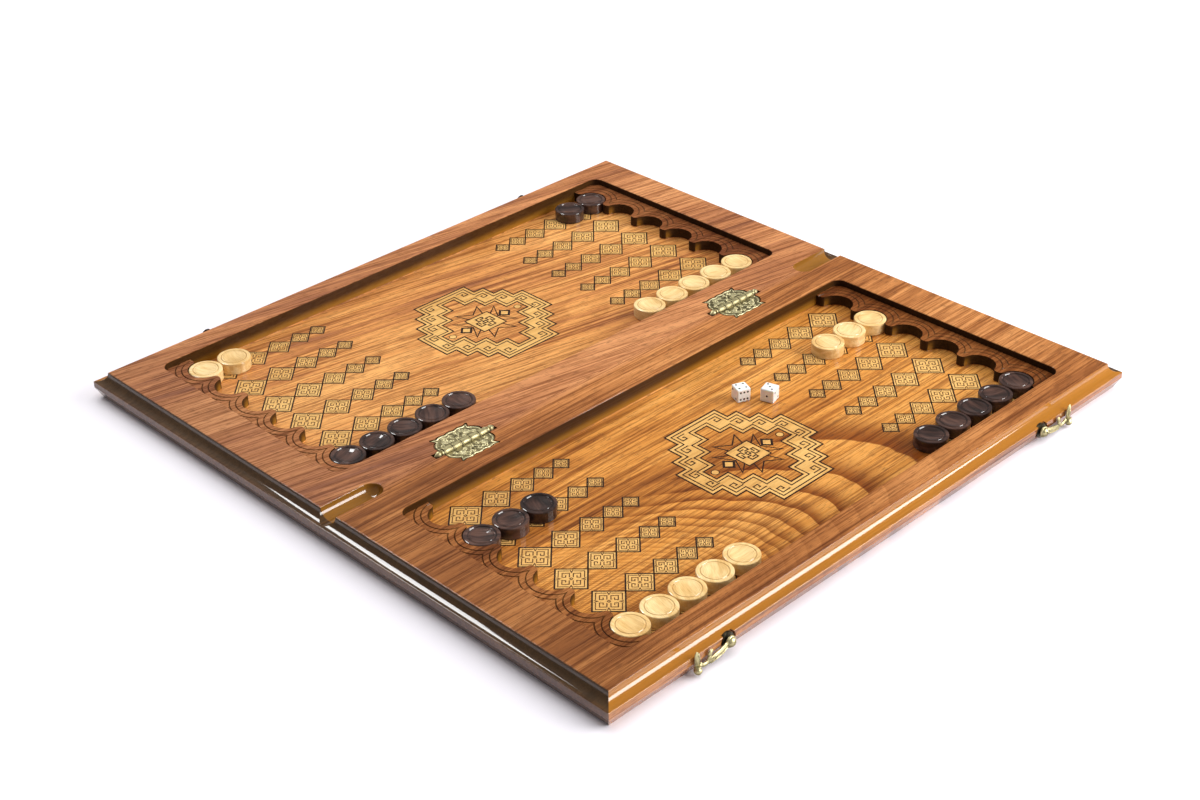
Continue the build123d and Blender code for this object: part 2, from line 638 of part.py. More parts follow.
def domed_head(radius):
    sphere_radius = (radius ** 2 + HEAD_DOME ** 2) / (2 * HEAD_DOME)
    ball = Pos(0, 0, HEAD_DOME - sphere_radius) * Sphere(sphere_radius)
    return ball & (Pos(0, 0, HEAD_DOME / 2) * Cylinder(radius, HEAD_DOME))


def hook_base():
    base = Pos(0, 0, BASE_THICKNESS / 2) * Cylinder(BASE_RADIUS, BASE_THICKNESS)
    boss_top = HOOK_X - HOOK_SIDE_GAP - SPOT_X
    base += Pos(0, 0, boss_top / 2) * Cylinder(BASE_BOSS_RADIUS, boss_top)
    base -= Cylinder(PIVOT_RADIUS, 4 * BASE_THICKNESS)
    return along_x(SPOT_X, HOOK_OFFSET, PIVOT_Z) * base


def pivot_screw():
    head_x = HOOK_OUT + HOOK_SIDE_GAP
    shank_length = head_x - SPOT_X + SHANK_LENGTH
    screw = domed_head(PIVOT_HEAD_RADIUS)
    screw += Pos(0, 0, -shank_length / 2) * Cylinder(PIVOT_RADIUS, shank_length)
    slot = Box(2 * PIVOT_HEAD_RADIUS + CUT, SLOT_WIDTH, 2 * SLOT_DEPTH)
    screw -= Pos(0, 0, HEAD_DOME) * Rot(0, 0, PIVOT_SLOT_TURN) * slot
    return along_x(head_x, HOOK_OFFSET, PIVOT_Z) * screw


def stud_plate():
    plate = Pos(0, 0, STUD_PLATE_THICKNESS / 2) * Cylinder(STUD_PLATE_RADIUS, STUD_PLATE_THICKNESS)
    plate -= Cylinder(PIVOT_RADIUS, 4 * STUD_PLATE_THICKNESS)
    return along_x(SPOT_X, HOOK_OFFSET, STUD_Z) * plate


def catch_stud():
    neck_start = SPOT_X + STUD_PLATE_THICKNESS
    neck_length = HARDWARE_REACH - HEAD_DOME - neck_start
    stud = Pos(0, 0, neck_length) * domed_head(STUD_HEAD_RADIUS)
    stud += Pos(0, 0, neck_length / 2) * Cylinder(STUD_NECK_RADIUS, neck_length)
    shank_length = SHANK_LENGTH + STUD_PLATE_THICKNESS
    stud += Pos(0, 0, -shank_length / 2) * Cylinder(PIVOT_RADIUS, shank_length)
    return along_x(neck_start, HOOK_OFFSET, STUD_Z) * stud


def write_case():
    save(case_half(PIVOT_Z), "half_right")
    save(mirror(case_half(STUD_Z), Plane.YZ), "half_left")


def write_hinges():
    right_knuckles = [i for i in range(KNUCKLES) if i % 2 == 1]
    left_knuckles = [i for i in range(KNUCKLES) if i % 2 == 0]
    right_leaf = leaf(right_knuckles, PIN_RADIUS)
    left_leaf = mirror(leaf(left_knuckles, PIN_RADIUS + PIN_RUNNING_FIT), Plane.YZ)
    pin = hinge_pin()
    right_screws = Compound(children=leaf_screws())
    left_screws = mirror(Compound(children=leaf_screws()), Plane.YZ)
    for name, sign in (("near", -1), ("far", 1)):
        place = Pos(0, sign * HINGE_OFFSET, 0)
        save(place * right_leaf, "hinge_" + name + "_right_leaf")
        save(place * left_leaf, "hinge_" + name + "_left_leaf")
        save(place * pin, "hinge_" + name + "_pin")
        save(place * right_screws, "hinge_" + name + "_right_screws")
        save(place * left_screws, "hinge_" + name + "_left_screws")


def write_hardware():
    for name, sign in (("near", -1), ("far", 1)):
        for piece, shape in (("base", hook_base()), ("lever", hook()), ("pivot_screw", pivot_screw())):
            save(shape if sign > 0 else mirror(shape, Plane.XZ), "hook_" + name + "_" + piece)
        for piece, shape in (("plate", stud_plate()), ("stud", catch_stud())):
            flipped = mirror(shape, Plane.YZ)
            save(flipped if sign > 0 else mirror(flipped, Plane.XZ), "catch_" + name + "_" + piece)


def write_checkers():
    discs = {"light": checker(light_face_profile()), "dark": checker(dark_face_profile())}
    counts = {"light": 0, "dark": 0}
    for colour, place in checker_places():
        counts[colour] += 1
        save(Pos(*place) * discs[colour], f"{colour}_checker_{counts[colour]:02d}")


def write_dice():
    for number, ((x, y), turn, pips) in enumerate(DICE, start=1):
        place = Pos(x, y, FLOOR_Z + DIE_SIZE / 2) * Rot(0, 0, turn)
        save(place * die(pips), f"die_{number}")


os.makedirs("parts", exist_ok=True)
write_case()
write_hinges()
write_hardware()
write_checkers()
write_dice()
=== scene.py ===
import bmesh
import bpy
import math
from mathutils import Matrix, Vector


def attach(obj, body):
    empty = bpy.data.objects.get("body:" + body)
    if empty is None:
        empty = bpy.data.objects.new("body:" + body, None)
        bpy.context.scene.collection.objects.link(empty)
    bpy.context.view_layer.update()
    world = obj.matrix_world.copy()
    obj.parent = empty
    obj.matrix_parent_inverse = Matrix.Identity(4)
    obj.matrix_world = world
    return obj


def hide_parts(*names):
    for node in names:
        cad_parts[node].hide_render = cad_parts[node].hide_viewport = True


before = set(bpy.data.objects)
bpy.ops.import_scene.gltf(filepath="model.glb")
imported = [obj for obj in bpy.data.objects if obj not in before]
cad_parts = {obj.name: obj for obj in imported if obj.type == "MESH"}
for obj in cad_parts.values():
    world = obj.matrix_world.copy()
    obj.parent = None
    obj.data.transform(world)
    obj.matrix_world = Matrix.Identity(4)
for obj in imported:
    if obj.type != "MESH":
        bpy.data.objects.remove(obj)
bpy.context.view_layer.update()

MM = 0.001

# ---- Sizes of the case that the ornament and fittings lie on, in millimetres ----
TOP = 23.0
FLOOR = 7.0
TRAY_INNER = 36.0
TRAY_OUTER = 269.0
TRAY_MIDDLE = (TRAY_INNER + TRAY_OUTER) / 2
TRAY_END = 254.4
RIM_EDGE = 290.0              # edge of the top face, from the middle of the case
COVE_COLOUR_FOOT = 14.25      # middle of the fade to the cove's painted glow and shade, a little below the cove
TROUGH_COLOUR_HALF = 13.25    # middle of the fade of the troughs' colour, from the seam
TROUGH_COLOUR_START = 207.5   # the same along the seam, short of where the troughs begin
POINT_PITCH = 37.7
POINT_START = 225.0           # outer corner of the first tile of a point
TILE_SIDES = (23.6, 20.4, 17.3, 14.4, 12.1)
MEDALLION_SHIFT = 2.5         # medallion's middle, along the seam
AXIS_Z = 23.15
HINGE_Y = 156.5
LEAF_TOP = 22.7
HOOK_Y = 185.0
HOOK_X = 300.9
HOOK_THICKNESS = 2.2
PIVOT_Z = 9.5
MOUTH_REACH = 25.6
KNUCKLE_RADIUS = 3.0
KNUCKLE_LENGTH = 9.0
KNUCKLES = 5
DIE_SIZE = 12.0
PIP_SPREAD = 3.1
PIP_RADIUS = 0.9
PIP_DEPTH = 0.3
LINE_Z = FLOOR + 0.07
GROUND_Z = FLOOR + 0.04
TILE_OUTLINE = 1.25           # widths of the burnt lines
STAR_LINE = 1.2
CROSS_LINE = 1.3
FRET_LINE = 1.1
BAND_EDGE = 1.15
LEAF_BEAD_EDGE = 0.70         # radii of the relief's beads
LEAF_BEAD_SPIRAL = 0.46
LEAF_BEAD_VEIN = 0.38
LEVER_EYE_RADIUS = 3.3        # to the middle of the bar that forms it
LEVER_CRADLE_RADIUS = 4.7     # to the middle of the bar, round the stud
LEVER_BALL_RADIUS = 3.0
LEVER_FOOT = MOUTH_REACH + 8.0    # middle of the finger, from the pivot

PIP_PLACES = {
    1: [(0, 0)],
    2: [(-1, 1), (1, -1)],
    3: [(-1, 1), (0, 0), (1, -1)],
    4: [(-1, -1), (-1, 1), (1, -1), (1, 1)],
    5: [(-1, -1), (-1, 1), (0, 0), (1, -1), (1, 1)],
    6: [(-1, -1), (0, -1), (1, -1), (-1, 1), (0, 1), (1, 1)],
}
DICE = {
    "die_1": ((94.0, 60.0), -22.0, (4, 3, 2, 5, 1, 6)),
    "die_2": ((111.5, 75.5), 17.0, (3, 4, 1, 6, 5, 2)),
}


# ---------------------------------------------------------------- shader helpers

class Socket:
    """A value in a material; expressions on it add Math nodes."""

    def __init__(self, finish, output):
        self.finish = finish
        self.output = output

    def _math(self, operation, a, b):
        return self.finish.node("ShaderNodeMath", {"operation": operation}, {0: a, 1: b})

    def __add__(self, other):
        return self._math("ADD", self, other)

    def __sub__(self, other):
        return self._math("SUBTRACT", self, other)

    def __mul__(self, other):
        return self._math("MULTIPLY", self, other)

    def __truediv__(self, other):
        return self._math("DIVIDE", self, other)

    def __pow__(self, other):
        return self._math("POWER", self, other)

    def __radd__(self, other):
        return self._math("ADD", other, self)

    def __rsub__(self, other):
        return self._math("SUBTRACT", other, self)

    def __rmul__(self, other):
        return self._math("MULTIPLY", other, self)


class Finish:
    """One material: a Principled surface and the nodes that feed it."""

    def __init__(self, name, **surface):
        self.material = bpy.data.materials.new(name)
        self.material.use_nodes = True
        self.tree = self.material.node_tree
        self.tree.nodes.clear()
        self.surface = self.tree.nodes.new("ShaderNodeBsdfPrincipled")
        out = self.tree.nodes.new("ShaderNodeOutputMaterial")
        self.tree.links.new(self.surface.outputs[0], out.inputs["Surface"])
        for key, value in surface.items():
            self.feed(key.replace("_", " ").title().replace("Ior", "IOR"), value)

    def node(self, kind, settings=None, sockets=None, out=0):
        node = self.tree.nodes.new(kind)
        for key, value in (settings or {}).items():
            if key == "stops":
                self._set_stops(node.color_ramp, value)
            else:
                setattr(node, key, value)
        for key, value in (sockets or {}).items():
            self._put(node.inputs[key], value)
        return Socket(self, node.outputs[out])

    def _set_stops(self, ramp, stops):
        while len(ramp.elements) > 1:
            ramp.elements.remove(ramp.elements[-1])
        ramp.elements[0].position = stops[0][0]
        ramp.elements[0].color = (*stops[0][1], 1)
        for position, colour in stops[1:]:
            ramp.elements.new(position).color = (*colour, 1)

    def _put(self, target, value):
        if isinstance(value, Socket):
            self.tree.links.new(value.output, target)
        elif isinstance(value, tuple) and len(value) == 3 and len(target.default_value) == 4:
            target.default_value = (*value, 1)
        else:
            target.default_value = value

    def feed(self, name, value):
        self._put(self.surface.inputs[name], value)

    def place(self):
        return self.node("ShaderNodeTexCoord", out="Object")

    def across(self):
        """Place within the piece's own box, 0 to 1 each way."""
        return self.node("ShaderNodeTexCoord", out="Generated")

    def parts(self, vector):
        split = self.node("ShaderNodeSeparateXYZ", {}, {0: vector}).output.node
        return [Socket(self, o) for o in split.outputs]

    def scaled(self, vector, factors):
        return self.node("ShaderNodeVectorMath", {"operation": "MULTIPLY"}, {0: vector, 1: factors})

    def facing(self):
        """How far the surface faces along each axis of the piece, 0 to 1, and up, -1 to 1."""
        x, y, z = self.parts(self.node("ShaderNodeTexCoord", out="Normal"))
        return self.absolute(x), self.absolute(y), z

    def noise(self, vector, factors, detail=2.0, roughness=0.5, distortion=0.0):
        return self.node(
            "ShaderNodeTexNoise", {},
            {"Vector": self.scaled(vector, factors), "Scale": 1.0, "Detail": detail,
             "Roughness": roughness, "Distortion": distortion},
        )

    def step(self, value, low, high, to_low=0.0, to_high=1.0):
        """Smooth rise of a value from low to high."""
        return self.node(
            "ShaderNodeMapRange", {"interpolation_type": "SMOOTHSTEP"},
            {"Value": value, "From Min": low, "From Max": high, "To Min": to_low, "To Max": to_high},
        )

    def ramp(self, value, stops):
        return self.node("ShaderNodeValToRGB", {"stops": stops}, {0: value})

    def absolute(self, value):
        return self.node("ShaderNodeMath", {"operation": "ABSOLUTE"}, {0: value})

    def fraction(self, value):
        return self.node("ShaderNodeMath", {"operation": "FRACT"}, {0: value})

    def mix(self, factor, a, b, blend="MIX"):
        return self.node(
            "ShaderNodeMix", {"data_type": "RGBA", "blend_type": blend}, {0: factor, 6: a, 7: b}, out=2
        )

    def larger(self, a, b):
        return self.node("ShaderNodeMath", {"operation": "MAXIMUM"}, {0: a, 1: b})

    def exponential(self, value):
        return self.node("ShaderNodeMath", {"operation": "EXPONENT"}, {0: value})

    def bump(self, height, distance):
        normal = self.node("ShaderNodeBump", {}, {"Height": height, "Distance": distance, "Strength": 1.0})
        self.feed("Normal", normal)


# ---------------------------------------------------------------- finishes

def board_place(f):
    """A place on the boards; the left half's grain runs a little across the seam."""
    x, y, z = f.parts(f.place())
    slant = (1 - f.step(x, -0.001, 0.001)) * 0.19
    return f.node("ShaderNodeCombineXYZ", {}, {0: x - y * slant, 1: y, 2: z})


def growth_rings(f, place):
    """Darkness of the year rings of a board cut along Y, and where they arch."""
    x, y, z = f.parts(place)
    drift = f.noise(place, (6.5, 1.3, 6.5), detail=1.5, roughness=0.35, distortion=0.2)
    ripple = f.noise(place, (45.0, 12.0, 45.0), detail=2.0)
    straight = f.fraction(drift * 22.0 + x * 55.0 + ripple * 0.4)
    off = x - 0.238
    arch = (y + off * off * 9.0 + 0.30) / 0.40 + (ripple - 0.5) * 0.03
    arched = (1 - f.step(arch, 1.02, 1.12)) * f.step(x, 0.10, 0.17)
    fall = f.exponential((0.57 - arch) * 4.77)
    nested = f.fraction(fall * 6.5)
    nested = f.step(nested, 0.25, 0.97) * (1 - f.step(nested, 0.97, 1.0))
    on_floor = f.step(z, (FLOOR + 2.0) * MM, FLOOR * MM, 0.3, 1.0)
    depth = (0.35 + f.step(arch, 0.42, 0.72) * 0.65) * on_floor
    straight = f.step(straight, 0.05, 0.90) * (1 - f.step(straight, 0.90, 1.0))
    return straight * (1 - arched) * 0.45 + nested * arched * depth, arched


def wood_grain(f, place):
    """Rings, fibre streaks, dark pore lines, flecks and slow clouds of the case's wood."""
    rings, arched = growth_rings(f, place)
    streaks = f.noise(place, (160.0, 4.5, 160.0), detail=4.0, roughness=0.62)
    fibres = f.noise(place, (520.0, 9.0, 520.0), detail=3.0, roughness=0.68)
    flecks = f.step(f.noise(place, (1300.0, 110.0, 1300.0), detail=1.0), 0.57, 0.66)
    clouds = f.noise(place, (11.0, 3.2, 11.0), detail=3.0, roughness=0.55)
    return rings, arched, streaks, fibres, flecks, clouds


def floor_mask(f, place):
    """1 on the floor of the trays, 0 on the frame."""
    x, y, z = f.parts(place)
    low = 1 - f.step(z, (FLOOR + 0.2) * MM, (FLOOR + 1.2) * MM)
    beside = f.step(f.absolute(x), (TRAY_INNER - 0.5) * MM, TRAY_INNER * MM)
    beside = beside * (1 - f.step(f.absolute(x), TRAY_OUTER * MM, (TRAY_OUTER + 0.5) * MM))
    along = 1 - f.step(f.absolute(y), TRAY_END * MM, (TRAY_END + 0.5) * MM)
    return low * beside * along


def case_wood():
    """Varnished wood of both halves. Its colours go by place, with painted light and shade: painted shade on
    the end faces, their coves, the tray walls and ledges, and a painted amber glow in the side coves. The
    seam faces take the tray walls' painted shade and the troughs' colour, and the underside takes those of
    the tray floor and frame."""
    f = Finish("varnished_case_wood", coat_roughness=0.05, specular_ior_level=0.04)
    place = board_place(f)
    x, y, z = f.parts(f.place())
    rings, arched, streaks, fibres, flecks, clouds = wood_grain(f, place)
    side_y, up = f.facing()[1:]
    floor = floor_mask(f, f.place())
    face = f.step(z, (TOP - 0.5) * MM, (TOP - 0.1) * MM)
    rim_x = f.step(f.absolute(x), (RIM_EDGE - 0.5) * MM, (RIM_EDGE + 0.5) * MM)
    rim_y = f.step(f.absolute(y), (RIM_EDGE - 0.5) * MM, (RIM_EDGE + 0.5) * MM)
    rim = f.larger(rim_x, rim_y) * (1 - face)
    # Mask of the two end faces, where shade is painted.
    ends_in_shade = f.step(f.absolute(y) - f.absolute(x), -0.0002, 0.0002)
    inside = (1 - rim) * (1 - face) * (1 - floor) * f.step(z, FLOOR * MM, (FLOOR + 0.2) * MM)
    tone = f.step(clouds * 0.70 + streaks * 0.60, 0.47, 0.92)
    field = f.ramp(tone, [
        (0.0, (0.90, 0.44, 0.110)), (0.4, (0.78, 0.335, 0.066)),
        (0.75, (0.52, 0.190, 0.034)), (1.0, (0.28, 0.090, 0.018)),
    ])
    rail = f.ramp(tone, [
        (0.0, (0.72, 0.325, 0.110)), (0.4, (0.57, 0.230, 0.070)),
        (0.75, (0.37, 0.135, 0.040)), (1.0, (0.21, 0.071, 0.022)),
    ])
    near_end = (1 - f.step(y, -0.29, -0.15)) * face
    deeper = f.step(x, 0.0, 0.03) * 0.16 + f.step(x, 0.14, 0.25) * 0.22
    colour = f.mix(floor, rail, field)
    colour = f.mix(near_end * 0.45, colour, (0.44, 0.40, 0.38), "MULTIPLY")
    colour = f.mix(deeper, colour, (0.50, 0.42, 0.34), "MULTIPLY")
    colour = f.mix((1 - f.step(x, 0.0, 0.01)) * 0.12, colour, (0.58, 0.30, 0.27))
    colour = f.mix(rings * (0.55 + arched * 0.45), colour, (0.36, 0.22, 0.13), "MULTIPLY")
    colour = f.mix(f.step(fibres, 0.47, 0.60) * 0.72, colour, (0.37, 0.26, 0.20), "MULTIPLY")
    colour = f.mix(flecks * 0.45, colour, (0.09, 0.033, 0.012))
    # Painted light in the coves: the side coves turn amber, partly the thicker varnish's colour and partly a
    # painted glow of light bouncing in the cove.
    cove = rim * f.step(z, (COVE_COLOUR_FOOT - 0.75) * MM, (COVE_COLOUR_FOOT + 0.75) * MM)
    colour = f.mix(cove * (1 - ends_in_shade) * 0.85, colour, (0.40, 0.155, 0.012))
    # Painted shade: the coves of the two end faces are painted near-black and their flange faces dark
    # grey-purple.
    colour = f.mix(cove * ends_in_shade * 0.93, colour, (0.045, 0.024, 0.006))
    colour = f.mix(rim * (1 - cove) * ends_in_shade * 0.8, colour, (0.085, 0.055, 0.045))
    # Painted shade on the tray walls: darker towards the top and near-black where they face along Y, golden
    # towards the foot.
    shade = f.step(z, 0.0080, 0.0165)
    wall = f.mix(shade, (0.36, 0.165, 0.016), (0.050, 0.020, 0.003))
    wall = f.mix(f.step(side_y, 0.25, 0.6) * 0.97, wall, (0.016, 0.007, 0.003))
    wall = f.mix(fibres * 0.6, wall, (0.5, 0.4, 0.3), "MULTIPLY")
    beyond = f.step(f.absolute(x), (TROUGH_COLOUR_HALF - 0.75) * MM, (TROUGH_COLOUR_HALF + 0.75) * MM)
    along = f.step(f.absolute(y), (TROUGH_COLOUR_START - 2.5) * MM, (TROUGH_COLOUR_START + 2.5) * MM)
    trough = (1 - beyond) * along
    wall = f.mix(trough, wall, (0.27, 0.115, 0.013))
    upright = f.larger(1 - f.step(up, 0.55, 0.85), trough)
    # Painted shade on the ledges inside the trays, deeper at the far end.
    far_end = f.step(y, 0.0, 0.01)
    ledge = inside * (1 - upright) * (0.50 + far_end * 0.35)
    colour = f.mix(ledge, colour, (0.36, 0.26, 0.19), "MULTIPLY")
    # The walls' painted shade goes on every upright face inside, the seam faces too.
    colour = f.mix(inside * upright * 0.95, colour, wall)
    f.feed("Base Color", colour)
    f.feed("Coat Weight", 1 - face * 0.60 - floor * 0.40 - inside * (1 - trough) * 0.85)
    f.feed("Roughness", 0.45 + fibres * 0.15)
    f.bump(fibres * 0.5 - flecks * 0.8 - rings * 0.2, 0.00006)
    return f.material


def inlay_ground():
    f = Finish("pale_engraved_ground", coat_weight=0.45, coat_roughness=0.06, specular_ior_level=0.05)
    place = board_place(f)
    rings, arched, streaks, fibres, flecks, clouds = wood_grain(f, place)
    tone = clouds * 0.5 + streaks * 0.6
    colour = f.ramp(f.step(tone, 0.3, 0.8), [
        (0.0, (0.82, 0.51, 0.175)), (0.6, (0.72, 0.41, 0.125)), (1.0, (0.54, 0.27, 0.070)),
    ])
    colour = f.mix(rings * 0.3, colour, (0.6, 0.48, 0.38), "MULTIPLY")
    colour = f.mix(flecks * 0.25, colour, (0.2, 0.08, 0.02))
    f.feed("Base Color", colour)
    f.feed("Roughness", 0.5 + fibres * 0.15)
    f.bump(fibres, 0.00005)
    return f.material


def burnt_line(name, light, dark):
    f = Finish(name, coat_weight=0.12, coat_roughness=0.2, specular_ior_level=0.15)
    place = f.place()
    char = f.noise(place, (900.0, 900.0, 900.0), detail=2.0)
    f.feed("Base Color", f.mix(f.step(char, 0.35, 0.65), dark, light))
    f.feed("Roughness", 0.55 + char * 0.2)
    f.bump(char, 0.00004)
    return f.material


def turned_wood(name, stops, ring_tint, ring_depth, roughness, coat_roughness, pale):
    """A checker's wood: grain across the disc, darker in the turned grooves."""
    f = Finish(name, coat_weight=1.0, coat_roughness=coat_roughness, specular_ior_level=0.1)
    own = f.node("ShaderNodeObjectInfo", out="Random")
    turned = f.node(
        "ShaderNodeVectorRotate", {"rotation_type": "Z_AXIS"}, {"Vector": f.place(), "Angle": own * 6.3}
    )
    streaks = f.noise(turned, (260.0, 28.0, 260.0), detail=3.0, roughness=0.6, distortion=0.4)
    fibres = f.noise(turned, (1800.0, 110.0, 1800.0), detail=2.0)
    clouds = f.noise(turned, (70.0, 40.0, 70.0), detail=2.0)
    tone = streaks * 0.55 + clouds * 0.45 + (own - 0.5) * 0.12
    colour = f.ramp(f.step(tone, 0.32, 0.68), stops)
    gx, gy, gz = f.parts(f.across())
    reach = ((gx * 2 - 1) ** 2 + (gy * 2 - 1) ** 2) ** 0.5
    groove = f.step(f.absolute(reach - 0.752), 0.05, 0.015)
    inner = f.step(f.absolute(reach - 0.62), 0.022, 0.008)
    face = f.step(f.absolute(gz - 0.5), 0.40, 0.43)
    colour = f.mix((groove + inner * 0.6) * face * ring_depth, colour, ring_tint)
    colour = f.mix(f.step(fibres, 0.45, 0.75) * pale, colour, (0.62, 0.50, 0.36), "MULTIPLY")
    f.feed("Base Color", colour)
    f.feed("Roughness", roughness + fibres * 0.12)
    f.bump(fibres - inner * face * 1.5, 0.00005)
    return f.material


def light_checker_wood():
    return turned_wood(
        "pale_turned_wood",
        [(0.0, (0.93, 0.70, 0.35)), (0.5, (0.87, 0.60, 0.26)), (1.0, (0.72, 0.44, 0.15))],
        (0.50, 0.29, 0.10), 0.55, 0.45, 0.15, 0.45,
    )


def dark_checker_wood():
    return turned_wood(
        "dark_stained_wood",
        [(0.0, (0.110, 0.054, 0.038)), (0.5, (0.048, 0.023, 0.017)), (1.0, (0.014, 0.007, 0.005))],
        (0.006, 0.004, 0.004), 0.6, 0.38, 0.035, 0.2,
    )


def die_white():
    f = Finish("polished_white", coat_weight=0.6, coat_roughness=0.05, subsurface_weight=0.1)
    cloud = f.noise(f.place(), (160.0, 160.0, 160.0), detail=2.0)
    f.feed("Base Color", f.mix(cloud, (0.86, 0.86, 0.84), (0.92, 0.92, 0.91)))
    f.feed("Roughness", 0.25 + cloud * 0.1)
    return f.material


def pip_black():
    f = Finish("pip_lacquer", coat_weight=0.5)
    speck = f.noise(f.place(), (900.0, 900.0, 900.0))
    f.feed("Base Color", f.mix(speck, (0.012, 0.011, 0.012), (0.03, 0.028, 0.028)))
    f.feed("Roughness", 0.3 + speck * 0.15)
    return f.material


def brass(name, worn, patina, share, underside_shade=0.0):
    """Antiqued brass: bright where it is handled and on the barrels, dark in the hollows, with painted shade
    on surfaces facing down by the last argument's share.
    """
    f = Finish(name, metallic=0.8)
    place = f.place()
    y, z = f.parts(place)[1:]
    mottle = f.noise(place, (420.0, 420.0, 420.0), detail=4.0, roughness=0.65)
    fine = f.noise(place, (2600.0, 2600.0, 2600.0), detail=2.0)
    handled = f.step(z, (LEAF_TOP + 0.1) * MM, (LEAF_TOP + 0.6) * MM)
    up = f.facing()[2]
    patina_and_shade = f.step(mottle, share, share + 0.28) * (1 - handled * 0.7)
    # Painted shade: surfaces facing down take the patina colour, by the last argument's share.
    patina_and_shade = patina_and_shade + (1 - patina_and_shade) * (1 - f.step(up, -0.35, 0.35)) * underside_shade
    knuckle = (f.absolute(y) / MM - (HINGE_Y - KNUCKLES * KNUCKLE_LENGTH / 2)) / KNUCKLE_LENGTH
    joint = f.step(f.absolute(f.fraction(knuckle) - 0.5), 0.435, 0.465) * handled
    colour = f.mix(handled, worn, (0.50, 0.44, 0.235))
    colour = f.mix(patina_and_shade, colour, patina)
    f.feed("Base Color", f.mix(joint * 0.9, colour, (0.05, 0.04, 0.02)))
    f.feed("Roughness", 0.32 + patina_and_shade * 0.22 + handled * 0.10 + fine * 0.10)
    f.bump(mottle * 0.7 + fine * 0.3, 0.00012)
    return f.material


def blackened_metal():
    f = Finish("blackened_metal", metallic=1.0)
    mottle = f.noise(f.place(), (500.0, 500.0, 500.0), detail=3.0)
    f.feed("Base Color", f.mix(mottle, (0.02, 0.018, 0.017), (0.075, 0.065, 0.055)))
    f.feed("Roughness", 0.32 + mottle * 0.2)
    f.bump(mottle, 0.0001)
    return f.material


def table_top():
    f = Finish("pale_table", roughness=0.6)
    cloud = f.noise(f.place(), (3.0, 3.0, 3.0))
    f.feed("Base Color", f.mix(cloud, (0.93, 0.90, 0.955), (0.95, 0.92, 0.97)))
    return f.material


WOOD = case_wood()
PALE_GROUND = inlay_ground()
DARK_LINE = burnt_line("burnt_outline", (0.034, 0.013, 0.005), (0.012, 0.005, 0.003))
FINE_LINE = burnt_line("burnt_fine_line", (0.13, 0.052, 0.014), (0.055, 0.021, 0.007))
LIGHT_WOOD = light_checker_wood()
DARK_WOOD = dark_checker_wood()
DIE_WHITE = die_white()
PIP_BLACK = pip_black()
BRIGHT_BRASS = brass("bright_antique_brass", (0.80, 0.73, 0.44), (0.26, 0.215, 0.095), 0.47)
DULL_BRASS = brass("dull_antique_brass", (0.32, 0.275, 0.135), (0.045, 0.036, 0.017), 0.40)
# The hook levers get painted shade on surfaces facing down.
CAST_BRASS = brass("cast_antique_brass", (0.60, 0.53, 0.28), (0.115, 0.09, 0.035), 0.46, 0.75)
# Brass painted near-black as painted shadow, for the hook bases.
SHADOW_PAINTED_BRASS = brass("brass_painted_in_shadow", (0.10, 0.085, 0.045), (0.020, 0.017, 0.011), 0.36)
BLACK_METAL = blackened_metal()


# ---------------------------------------------------------------- mesh helpers

def piece(name, build, materials, body, smooth=False):
    """A new object in millimetres of the case's frame, riding on a body."""
    mesh = bpy.data.meshes.new(name)
    bm = bmesh.new()
    build(bm)
    bmesh.ops.scale(bm, vec=(MM, MM, MM), verts=bm.verts)
    bm.normal_update()
    bm.to_mesh(mesh)
    bm.free()
    for material in materials:
        mesh.materials.append(material)
    if smooth:
        mesh.polygons.foreach_set("use_smooth", [True] * len(mesh.polygons))
    obj = bpy.data.objects.new(name, mesh)
    bpy.context.scene.collection.objects.link(obj)
    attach(obj, body)
    return obj


def flat(bm, points, z, material=0):
    """A flat polygon, wound so that it faces up."""
    area = sum(a[0] * b[1] - b[0] * a[1] for a, b in zip(points, points[1:] + points[:1]))
    ordered = points if area > 0 else points[::-1]
    face = bm.faces.new([bm.verts.new((x, y, z)) for x, y in ordered])
    face.material_index = material
    return face


def plate(bm, points, low, high, material=0):
    """A flat polygon with sides: its top at high, its sides down to low."""
    face = flat(bm, points, high, material)
    top = list(face.verts)
    foot = [bm.verts.new((v.co.x, v.co.y, low)) for v in top]
    for i in range(len(top)):
        j = (i + 1) % len(top)
        side = bm.faces.new([top[i], foot[i], foot[j], top[j]])
        side.material_index = material


def line(bm, points, width, z, material=0, closed=False):
    """A strip of even width along straight runs, with mitred corners."""
    path = [Vector(p) for p in points]
    count = len(path)
    left, right = [], []
    for i, p in enumerate(path):
        before = path[(i - 1) % count] if closed or i else None
        after = path[(i + 1) % count] if closed or i < count - 1 else None
        into = (p - before).normalized() if before is not None else (after - p).normalized()
        out = (after - p).normalized() if after is not None else into
        side = Vector((-(into + out).y, (into + out).x))
        side = side.normalized() if side.length > 1e-6 else Vector((-into.y, into.x))
        spread = width / 2 / max(0.35, abs(side.dot(Vector((-into.y, into.x)))))
        left.append(bm.verts.new((*(p + side * spread), z)))
        right.append(bm.verts.new((*(p - side * spread), z)))
    for i in range(count if closed else count - 1):
        j = (i + 1) % count
        face = bm.faces.new([left[i], right[i], right[j], left[j]])
        face.material_index = material


